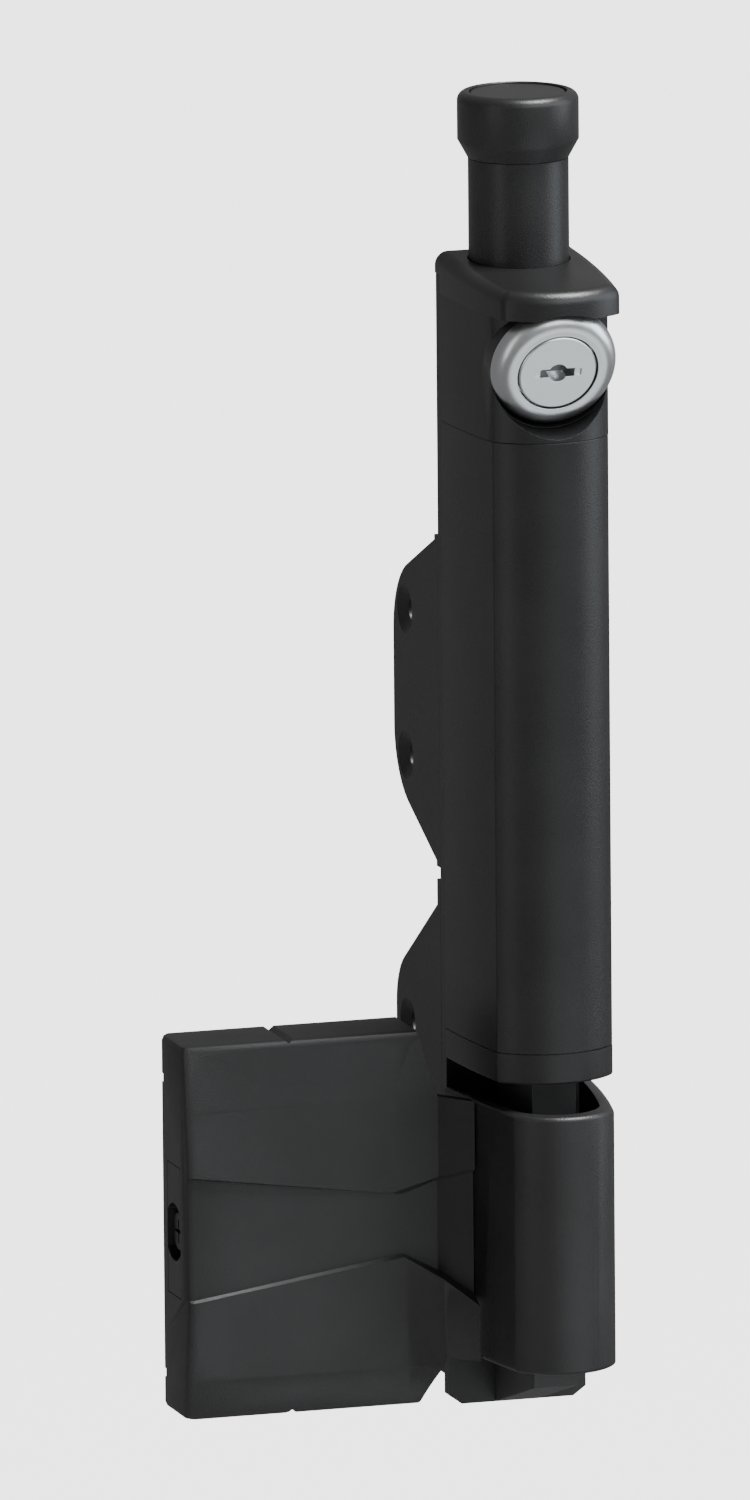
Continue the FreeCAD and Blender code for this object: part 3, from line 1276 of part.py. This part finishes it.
keeper_body = new_body("keeper_body")
sketch = sketch_on(keeper_body, "XY_Plane", "keeper_foot")
box_outline(sketch, "-keeper_width / 2", "keeper_width / 2", "keeper_face", "keeper_back")
pad(keeper_body, sketch, "keeper_top - keeper_foot")
dress(keeper_body, "Chamfer", "1.2", lambda edge: level(edge, "keeper_top")
      and edge.BoundBox.YMin > number("keeper_back") - 0.01)
sketch = sketch_on(keeper_body, "XY_Plane", "keeper_top")
box_outline(sketch, "-socket_width / 2", "socket_width / 2",
            "pin_line - socket_width / 2", "pin_line + socket_width / 2")
pocket(keeper_body, sketch, "socket_depth")
sketch = sketch_on(keeper_body, "XY_Plane", "keeper_foot")
circle(sketch, "0", "pin_line", "magnet_radius + screw_gap")
pocket(keeper_body, sketch, "magnet_lid + magnet_height + screw_gap", along_normal=True)
keeper_block = cut("keeper_block", keeper_body, keeper_screw_holes)

magnet = new_body("keeper_magnet")
sketch = sketch_on(magnet, "XY_Plane", "keeper_foot + magnet_lid")
circle(sketch, "0", "pin_line", "magnet_radius")
pad(magnet, sketch, "magnet_height")
dress(magnet, "Chamfer", "0.4", lambda edge: edge.BoundBox.ZLength < 0.01)

magnet_lid = new_body("magnet_lid")
sketch = sketch_on(magnet_lid, "XY_Plane", "keeper_foot")
circle(sketch, "0", "pin_line", "magnet_radius")
pad(magnet_lid, sketch, "magnet_lid")

# Gate plate: screwed to the gate inside the cover, with a threaded lug for the adjuster.

plate_left = "(-cover_left + cover_wall + plate_gap)"
plate_low = "(cover_foot + cover_wall + plate_gap)"
plate_high = "(cover_top - cover_wall - plate_gap)"
plate = new_body("gate_plate")
sketch = sketch_on(plate, "XZ_Plane", "bracket_thickness")
box_outline(sketch, plate_left, "-(cover_right + cover_wall * 1.5 + plate_gap)", plate_low, plate_high)
pad(plate, sketch, "plate_thickness")
dress(plate, "Fillet", "3", lambda edge: edge.BoundBox.YLength > number("plate_thickness") * 0.9)
lug_left = "(-cover_left + insert_thickness + fit_gap)"
sketch = sketch_on(plate, "XZ_Plane", "bracket_thickness + plate_thickness")
box_outline(sketch, lug_left, f"{lug_left} + lug_length", "adjuster_z - lug_height / 2",
            "adjuster_z + lug_height / 2")
pad(plate, sketch, "lug_rise - plate_thickness")
sketch = sketch_on(plate, "YZ_Plane", lug_left)
circle(sketch, "adjuster_y", "adjuster_z", "adjuster_shank + 0.05")
pocket(plate, sketch, "lug_length", along_normal=True)
for across in (f"{plate_left} + gate_hole_side", "-(cover_right + cover_wall * 1.5 + gate_hole_side)"):
    for up in (f"{plate_low} + gate_hole_end", f"{plate_high} - gate_hole_end"):
        sketch = sketch_on(plate, "XZ_Plane", "bracket_thickness + plate_thickness")
        circle(sketch, across, up, "gate_hole / 2")
        pocket(plate, sketch)

# Side insert and adjuster: a block in the cover's left wall, with a round recess over the
# screw that shifts the cover along the gate plate.

insert = new_body("side_insert")
sketch = sketch_on(insert, "YZ_Plane", "-cover_left")
box_outline(sketch, "rail_back - insert_front", "rail_back - insert_back", "insert_foot", "insert_top")
pad(insert, sketch, "insert_thickness")
sketch = sketch_on(insert, "YZ_Plane", "-cover_left")
circle(sketch, "adjuster_y", "adjuster_z", "recess_radius")
pocket(insert, sketch, "recess_depth", along_normal=True)
sketch = sketch_on(insert, "YZ_Plane", "-cover_left")
circle(sketch, "adjuster_y", "adjuster_z", "adjuster_shank + fit_gap")
pocket(insert, sketch, along_normal=True)

adjuster = new_body("adjuster_screw")
adjuster_face = "-cover_left + recess_depth - adjuster_head_height"
sketch = sketch_on(adjuster, "YZ_Plane", adjuster_face)
circle(sketch, "adjuster_y", "adjuster_z", "adjuster_head")
pad(adjuster, sketch, "adjuster_head_height")
sketch = sketch_on(adjuster, "YZ_Plane", "-cover_left + recess_depth")
circle(sketch, "adjuster_y", "adjuster_z", "adjuster_shank")
pad(adjuster, sketch, "adjuster_length")
for length, width in (("adjuster_shank", "screw_slot / 2"), ("screw_slot / 2", "adjuster_shank")):
    sketch = sketch_on(adjuster, "YZ_Plane", adjuster_face)
    box_outline(sketch, f"adjuster_y - {length}", f"adjuster_y + {length}",
                f"adjuster_z - {width}", f"adjuster_z + {width}")
    pocket(adjuster, sketch, "adjuster_head_height * 0.6", along_normal=True)

doc.recompute()

NODES = [
    back_rail, latch_fin, main_tube, bottom_collar, top_cap, lock_face, bezel, barrel, nut,
    bush, rod_guide, spring_seat, spring, upper_bracket, lower_bracket, rail_screw_set,
    bracket_screw_set,
    shaft, head, lid, knob_screw, pull_rod, pin_carrier, latch_pin, cross_pin_pair,
    plug, cam, cam_screw,
    striker_cover, keeper_block, magnet, magnet_lid, keeper_screw_pair, plate, insert, adjuster,
]

for item in doc.Objects:
    if "Invalid" in item.State or "Error" in item.State:
        raise RuntimeError(f"{item.Label} failed: {item.State}")
os.makedirs("parts", exist_ok=True)
for node in NODES:
    shape = node.Shape
    if shape.isNull() or not shape.isValid():
        raise RuntimeError(f"{node.Label} has no valid shape")
    shape.exportStep(f"parts/{node.Label}.step")
    box = shape.BoundBox
    print(f"{node.Label}: {len(shape.Solids)} solids, {shape.Volume:.0f} mm3,"
          f" {box.XLength:.1f} x {box.YLength:.1f} x {box.ZLength:.1f} mm")
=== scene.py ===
import json
import math

import bmesh
import bpy
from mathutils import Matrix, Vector

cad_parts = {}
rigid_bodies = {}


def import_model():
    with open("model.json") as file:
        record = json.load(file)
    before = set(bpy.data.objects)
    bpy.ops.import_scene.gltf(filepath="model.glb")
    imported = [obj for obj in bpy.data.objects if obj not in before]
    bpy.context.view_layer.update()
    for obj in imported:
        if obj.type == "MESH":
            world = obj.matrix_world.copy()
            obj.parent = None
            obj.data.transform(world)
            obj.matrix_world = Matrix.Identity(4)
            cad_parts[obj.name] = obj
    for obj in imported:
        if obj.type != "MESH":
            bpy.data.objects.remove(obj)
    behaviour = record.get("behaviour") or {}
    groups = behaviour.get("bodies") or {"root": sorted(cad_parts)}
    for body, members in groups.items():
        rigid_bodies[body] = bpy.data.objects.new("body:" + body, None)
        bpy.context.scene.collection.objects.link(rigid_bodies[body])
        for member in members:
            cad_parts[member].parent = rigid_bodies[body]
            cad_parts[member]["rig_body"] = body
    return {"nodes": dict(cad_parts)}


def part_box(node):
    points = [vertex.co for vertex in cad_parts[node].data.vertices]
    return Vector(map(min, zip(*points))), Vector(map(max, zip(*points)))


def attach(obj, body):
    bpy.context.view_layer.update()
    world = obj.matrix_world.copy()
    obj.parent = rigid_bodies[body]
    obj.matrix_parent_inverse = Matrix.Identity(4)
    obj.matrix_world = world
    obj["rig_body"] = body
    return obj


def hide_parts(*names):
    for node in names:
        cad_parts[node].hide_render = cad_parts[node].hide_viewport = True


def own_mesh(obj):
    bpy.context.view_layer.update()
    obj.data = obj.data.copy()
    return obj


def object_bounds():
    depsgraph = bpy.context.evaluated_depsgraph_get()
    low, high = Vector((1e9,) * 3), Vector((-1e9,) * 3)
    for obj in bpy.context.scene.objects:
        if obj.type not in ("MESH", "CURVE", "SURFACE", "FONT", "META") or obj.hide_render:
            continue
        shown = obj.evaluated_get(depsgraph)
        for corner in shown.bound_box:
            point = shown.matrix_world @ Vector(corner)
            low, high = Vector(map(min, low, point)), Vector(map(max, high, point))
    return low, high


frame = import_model()
nodes = frame["nodes"]
cad_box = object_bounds()

# The latch body's mouldings: tube, bottom collar, top cap and the lock face that lies in the
# cap. They are injection moulded in black polymer with a fine spark-eroded grain, and screws
# from behind hold them to the rail. The mould leaves a small radius on every edge.

CLOUDS_PER_METRE = 45
GRAIN_PER_METRE = 2600
GRAIN_STRENGTH = 0.8
POLYMER_SPECULAR = 0.25
MERGE_WITHIN = 2e-6
FLAT_WITHIN = math.radians(0.6)
CREASE_ANGLE = math.radians(32)
EASED_EDGE = 0.00035
SCOOP_EDGE = 0.0006


def black_grain(name, tone, roughness, depth):
    """Black polymer or paint: tone is its grey, depth the height of its grain in metres."""
    darkest = (0.88, 0.88, 0.9)
    palest = (1.12, 1.12, 1.16)
    roughness_swing = 0.07
    material = bpy.data.materials.new(name)
    material.use_nodes = True
    tree = material.node_tree
    shader = tree.nodes["Principled BSDF"]
    shader.inputs["Specular IOR Level"].default_value = POLYMER_SPECULAR
    place = tree.nodes.new("ShaderNodeTexCoord").outputs["Object"]
    clouds = tree.nodes.new("ShaderNodeTexNoise")
    clouds.inputs["Scale"].default_value = CLOUDS_PER_METRE
    clouds.inputs["Detail"].default_value = 4
    tree.links.new(place, clouds.inputs["Vector"])
    shade = tree.nodes.new("ShaderNodeValToRGB")
    shade.color_ramp.elements[0].position = 0.3
    shade.color_ramp.elements[0].color = [tone * part for part in darkest] + [1]
    shade.color_ramp.elements[1].position = 0.72
    shade.color_ramp.elements[1].color = [tone * part for part in palest] + [1]
    tree.links.new(clouds.outputs["Fac"], shade.inputs["Fac"])
    tree.links.new(shade.outputs["Color"], shader.inputs["Base Color"])
    grain = tree.nodes.new("ShaderNodeTexNoise")
    grain.inputs["Scale"].default_value = GRAIN_PER_METRE
    grain.inputs["Detail"].default_value = 3
    tree.links.new(place, grain.inputs["Vector"])
    gloss = tree.nodes.new("ShaderNodeMapRange")
    gloss.inputs["To Min"].default_value = roughness - roughness_swing
    gloss.inputs["To Max"].default_value = roughness + roughness_swing
    tree.links.new(grain.outputs["Fac"], gloss.inputs["Value"])
    tree.links.new(gloss.outputs["Result"], shader.inputs["Roughness"])
    bump = tree.nodes.new("ShaderNodeBump")
    bump.inputs["Strength"].default_value = GRAIN_STRENGTH
    bump.inputs["Distance"].default_value = depth
    tree.links.new(grain.outputs["Fac"], bump.inputs["Height"])
    tree.links.new(bump.outputs["Normal"], shader.inputs["Normal"])
    return material


def eased_copy(node, material, edge=EASED_EDGE, flats=True):
    """A copy of a solid with merged corners and eased edges, which is shown in its place.

    flats=False keeps the strips of a round surface, which would otherwise be merged unevenly.
    """
    shape = bmesh.new()
    shape.from_mesh(nodes[node].data)
    bmesh.ops.remove_doubles(shape, verts=shape.verts, dist=MERGE_WITHIN)
    if flats:
        bmesh.ops.dissolve_limit(shape, angle_limit=FLAT_WITHIN, verts=shape.verts,
                                 edges=shape.edges, delimit={"NORMAL"})
    for face in shape.faces:
        face.smooth = True
    for seam in shape.edges:
        seam.smooth = len(seam.link_faces) == 2 and seam.calc_face_angle(0) < CREASE_ANGLE
    mesh = bpy.data.meshes.new(node + "_shell")
    shape.to_mesh(mesh)
    shape.free()
    mesh.materials.append(material)
    copy = bpy.data.objects.new(node + "_shell", mesh)
    bpy.context.scene.collection.objects.link(copy)
    if edge:
        softened = copy.modifiers.new("eased", "BEVEL")
        softened.width = edge
        softened.segments = 2
        softened.limit_method = "ANGLE"
        softened.angle_limit = CREASE_ANGLE
        softened.harden_normals = True
    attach(copy, nodes[node]["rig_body"])
    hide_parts(node)
    return copy


body_black = black_grain("body_black", tone=0.007, roughness=0.34, depth=0.00007)
for name in ("main_tube", "bottom_collar", "top_cap"):
    eased_copy(name, body_black)
eased_copy("lock_face", body_black, edge=SCOOP_EDGE)

# The lifting knob: a round shaft with a flat back, a flared head and the lid over its screw.
# It is moulded in the same polymer. The head is screwed to the shaft, and the lid presses in.

knob_black = black_grain("knob_black", tone=0.0085, roughness=0.37, depth=0.00007)
for name in ("knob_shaft", "knob_head", "knob_lid"):
    eased_copy(name, knob_black, flats=False)

# The striker: a faceted cover with its arm and sleeve in one moulding, and the side insert
# that is pressed into its left wall. Same polymer, with softer edges and a coarser grain.

COVER_EDGE = 0.0006
striker_black = black_grain("striker_black", tone=0.0085, roughness=0.38, depth=0.00009)
eased_copy("striker_cover", striker_black, edge=COVER_EDGE)
eased_copy("side_insert", striker_black)

# The inner mouldings that show in gaps: the latch fin, the guides and the keeper. They have
# the plain matt surface of a part that nobody is meant to see. Their black is painted about
# twice as pale as the outer mouldings' black: painted light that lifts the shade in the gaps.

INNER_EDGE = 0.0002
# tone 0.016 is painted light: paler than the outer black, so that the shaded gaps do not go black
inner_black_painted_fill = black_grain("inner_black_painted_fill", tone=0.016, roughness=0.5, depth=0.00002)
for name in ("latch_fin", "shaft_bush", "rod_guide", "pin_carrier", "keeper_block", "magnet_lid"):
    eased_copy(name, inner_black_painted_fill, edge=INNER_EDGE)

# Rail, brackets and gate plate: flat bar and bent plate with a black powder coat, which is
# duller than the polymer. The brackets are screwed to the rail. The plate is screwed to the
# gate inside the striker's cover.

plate_black = black_grain("plate_black", tone=0.007, roughness=0.42, depth=0.00006)
for name in ("back_rail", "upper_bracket", "lower_bracket", "gate_plate"):
    eased_copy(name, plate_black)

# The lock: bezel, barrel and plug are zinc castings, plated and satin finished. A nut behind
# the lock face holds the barrel, and a screw holds the cam to the plug.

SCRATCHES_PER_METRE = 900
LOCK_EDGE = 0.00015


def satin_metal(name, tone, roughness, streak):
    """Satin metal: streak is how far the fine scratches change its roughness."""
    darkest = (0.9, 0.93, 0.95)
    palest = (0.97, 1, 1.02)
    material = bpy.data.materials.new(name)
    material.use_nodes = True
    tree = material.node_tree
    shader = tree.nodes["Principled BSDF"]
    shader.inputs["Metallic"].default_value = 1.0
    place = tree.nodes.new("ShaderNodeTexCoord").outputs["Object"]
    scratches = tree.nodes.new("ShaderNodeTexNoise")
    scratches.inputs["Scale"].default_value = SCRATCHES_PER_METRE
    scratches.inputs["Detail"].default_value = 5
    tree.links.new(place, scratches.inputs["Vector"])
    shade = tree.nodes.new("ShaderNodeValToRGB")
    shade.color_ramp.elements[0].color = [tone * part for part in darkest] + [1]
    shade.color_ramp.elements[1].color = [tone * part for part in palest] + [1]
    tree.links.new(scratches.outputs["Fac"], shade.inputs["Fac"])
    tree.links.new(shade.outputs["Color"], shader.inputs["Base Color"])
    gloss = tree.nodes.new("ShaderNodeMapRange")
    gloss.inputs["To Min"].default_value = roughness - streak
    gloss.inputs["To Max"].default_value = roughness + streak
    tree.links.new(scratches.outputs["Fac"], gloss.inputs["Value"])
    tree.links.new(gloss.outputs["Result"], shader.inputs["Roughness"])
    return material


silver = satin_metal("silver", tone=0.62, roughness=0.34, streak=0.05)
for name in ("lock_bezel", "lock_barrel", "lock_plug", "lock_cam", "lock_nut"):
    eased_copy(name, silver, edge=LOCK_EDGE)

# Screws, pins, rod and spring seat are bright stainless steel. The adjuster is blackened, so
# that it stays dark in its recess, and the keeper's magnet is nickel plated.

steel = satin_metal("steel", tone=0.55, roughness=0.3, streak=0.08)
for name in ("rail_screws", "bracket_screws", "cam_screw", "knob_screw", "pull_rod", "latch_pin",
             "cross_pins", "spring_seat", "keeper_screws"):
    eased_copy(name, steel, edge=0)
oxide = satin_metal("oxide", tone=0.08, roughness=0.4, streak=0.06)
eased_copy("adjuster_screw", oxide, edge=0)
nickel = satin_metal("nickel", tone=0.6, roughness=0.25, streak=0.05)
eased_copy("keeper_magnet", nickel, edge=0)

# The return spring: a coil of stainless wire round the latch pin. It stands on its seat on
# the fin, holds the carrier up, and is pressed shorter as the knob goes down.

spring = eased_copy("return_spring", steel, edge=0, flats=False)
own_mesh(spring)

# The studio: a white floor well below the latch, soft windows in front and at the right, a
# weak strip at the left and a broad sun overhead. The sky is dim, but the camera sees it as
# pale as the floor.

FLOOR_SIZE = 40
FLOOR_SHIFT = 8
FLOOR_DROP = 0.45
SKY_LIGHT = 0.26
SKY_AS_SEEN = 3.4
bpy.ops.mesh.primitive_plane_add(size=FLOOR_SIZE,
                                 location=(0, FLOOR_SHIFT, cad_box[0][2] - FLOOR_DROP))
floor = bpy.context.object
floor.name = "studio_floor"
paper = bpy.data.materials.new("white_paper")
paper.use_nodes = True
paper.node_tree.nodes["Principled BSDF"].inputs["Base Color"].default_value = (0.9, 0.9, 0.9, 1)
paper.node_tree.nodes["Principled BSDF"].inputs["Roughness"].default_value = 0.9
floor.data.materials.append(paper)
floor.visible_glossy = False

sky = bpy.data.worlds.new("pale_sky")
sky.use_nodes = True
sky.node_tree.nodes["Background"].inputs["Color"].default_value = (1, 1, 1, 1)
ray_kind = sky.node_tree.nodes.new("ShaderNodeLightPath")
sky_level = sky.node_tree.nodes.new("ShaderNodeMapRange")
sky_level.inputs["To Min"].default_value = SKY_LIGHT
sky_level.inputs["To Max"].default_value = SKY_AS_SEEN
sky.node_tree.links.new(ray_kind.outputs["Is Camera Ray"], sky_level.inputs["Value"])
sky.node_tree.links.new(sky_level.outputs["Result"],
                        sky.node_tree.nodes["Background"].inputs["Strength"])
bpy.context.scene.world = sky

middle = Vector((-0.03, -0.03, 0.09))


def direction(azimuth, elevation):
    """The way from the latch to a light or camera; azimuth 0 is in front, 90 at the right."""
    azimuth = math.radians(azimuth)
    elevation = math.radians(elevation)
    return Vector((math.sin(azimuth) * math.cos(elevation),
                   -math.cos(azimuth) * math.cos(elevation), math.sin(elevation)))


def soft_light(name, away, distance, width, height, watts, colour):
    """A rectangular light that looks at the latch from the direction away."""
    light = bpy.data.lights.new(name, "AREA")
    light.shape = "RECTANGLE"
    light.size = width
    light.size_y = height
    light.energy = watts
    light.color = colour
    lamp = bpy.data.objects.new(name, light)
    lamp.location = middle + away * distance
    lamp.rotation_euler = away.to_track_quat("Z", "Y").to_euler()
    lamp.visible_camera = False
    bpy.context.scene.collection.objects.link(lamp)


soft_light("right_window", direction(74, 16), distance=1.3, width=0.7, height=1.1,
           watts=12, colour=(0.86, 0.94, 1.0))
soft_light("front_window", direction(26, 30), distance=1.5, width=1.5, height=0.7,
           watts=18, colour=(0.96, 0.98, 1.0))
soft_light("floor_bounce", direction(24, -34), distance=0.9, width=0.8, height=0.6,
           watts=2.2, colour=(0.93, 0.97, 1.0))
soft_light("left_strip", direction(-62, 6), distance=1.4, width=0.3, height=1.0,
           watts=2.5, colour=(1.0, 0.97, 0.93))
overhead = bpy.data.lights.new("overhead", "SUN")
overhead.energy = 12
overhead.angle = math.radians(25)
overhead_lamp = bpy.data.objects.new("overhead", overhead)
overhead_lamp.rotation_euler = direction(60, 66).to_track_quat("Z", "Y").to_euler()
bpy.context.scene.collection.objects.link(overhead_lamp)

# The camera: a long lens in front, to the left of the latch and a little above it. The frame
# is the photograph's, 750 by 1500, and the latch leans in it by half a degree.

FRAME_HEIGHT = 1500
PIXELS_PER_METRE = 4000
CAMERA_DISTANCE = 6.25
AIM_LEFT = 0.0331
AIM_UP = 0.1619
roll = math.radians(0.49)
forwards = -direction(-17.1, 11.1)
right = forwards.cross(Vector((0, 0, 1))).normalized()
up = right.cross(forwards)
foot_of_rail = Vector((0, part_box("back_rail")[1][1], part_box("back_rail")[0][2]))
aim = foot_of_rail - AIM_LEFT * right + AIM_UP * up
lens = bpy.data.cameras.new("camera")
lens.sensor_width = 36
lens.lens = PIXELS_PER_METRE * CAMERA_DISTANCE * lens.sensor_width / FRAME_HEIGHT
lens.clip_end = 100
camera = bpy.data.objects.new("camera", lens)
bpy.context.scene.collection.objects.link(camera)
leaning_up = up * math.cos(roll) + right * math.sin(roll)
leaning_right = forwards.cross(leaning_up)
turned = camera.matrix_world.to_3x3()
for row in range(3):
    turned[row] = (leaning_right[row], leaning_up[row], -forwards[row])
camera.matrix_world = turned.to_4x4()
camera.location = aim - CAMERA_DISTANCE * forwards
bpy.context.scene.camera = camera
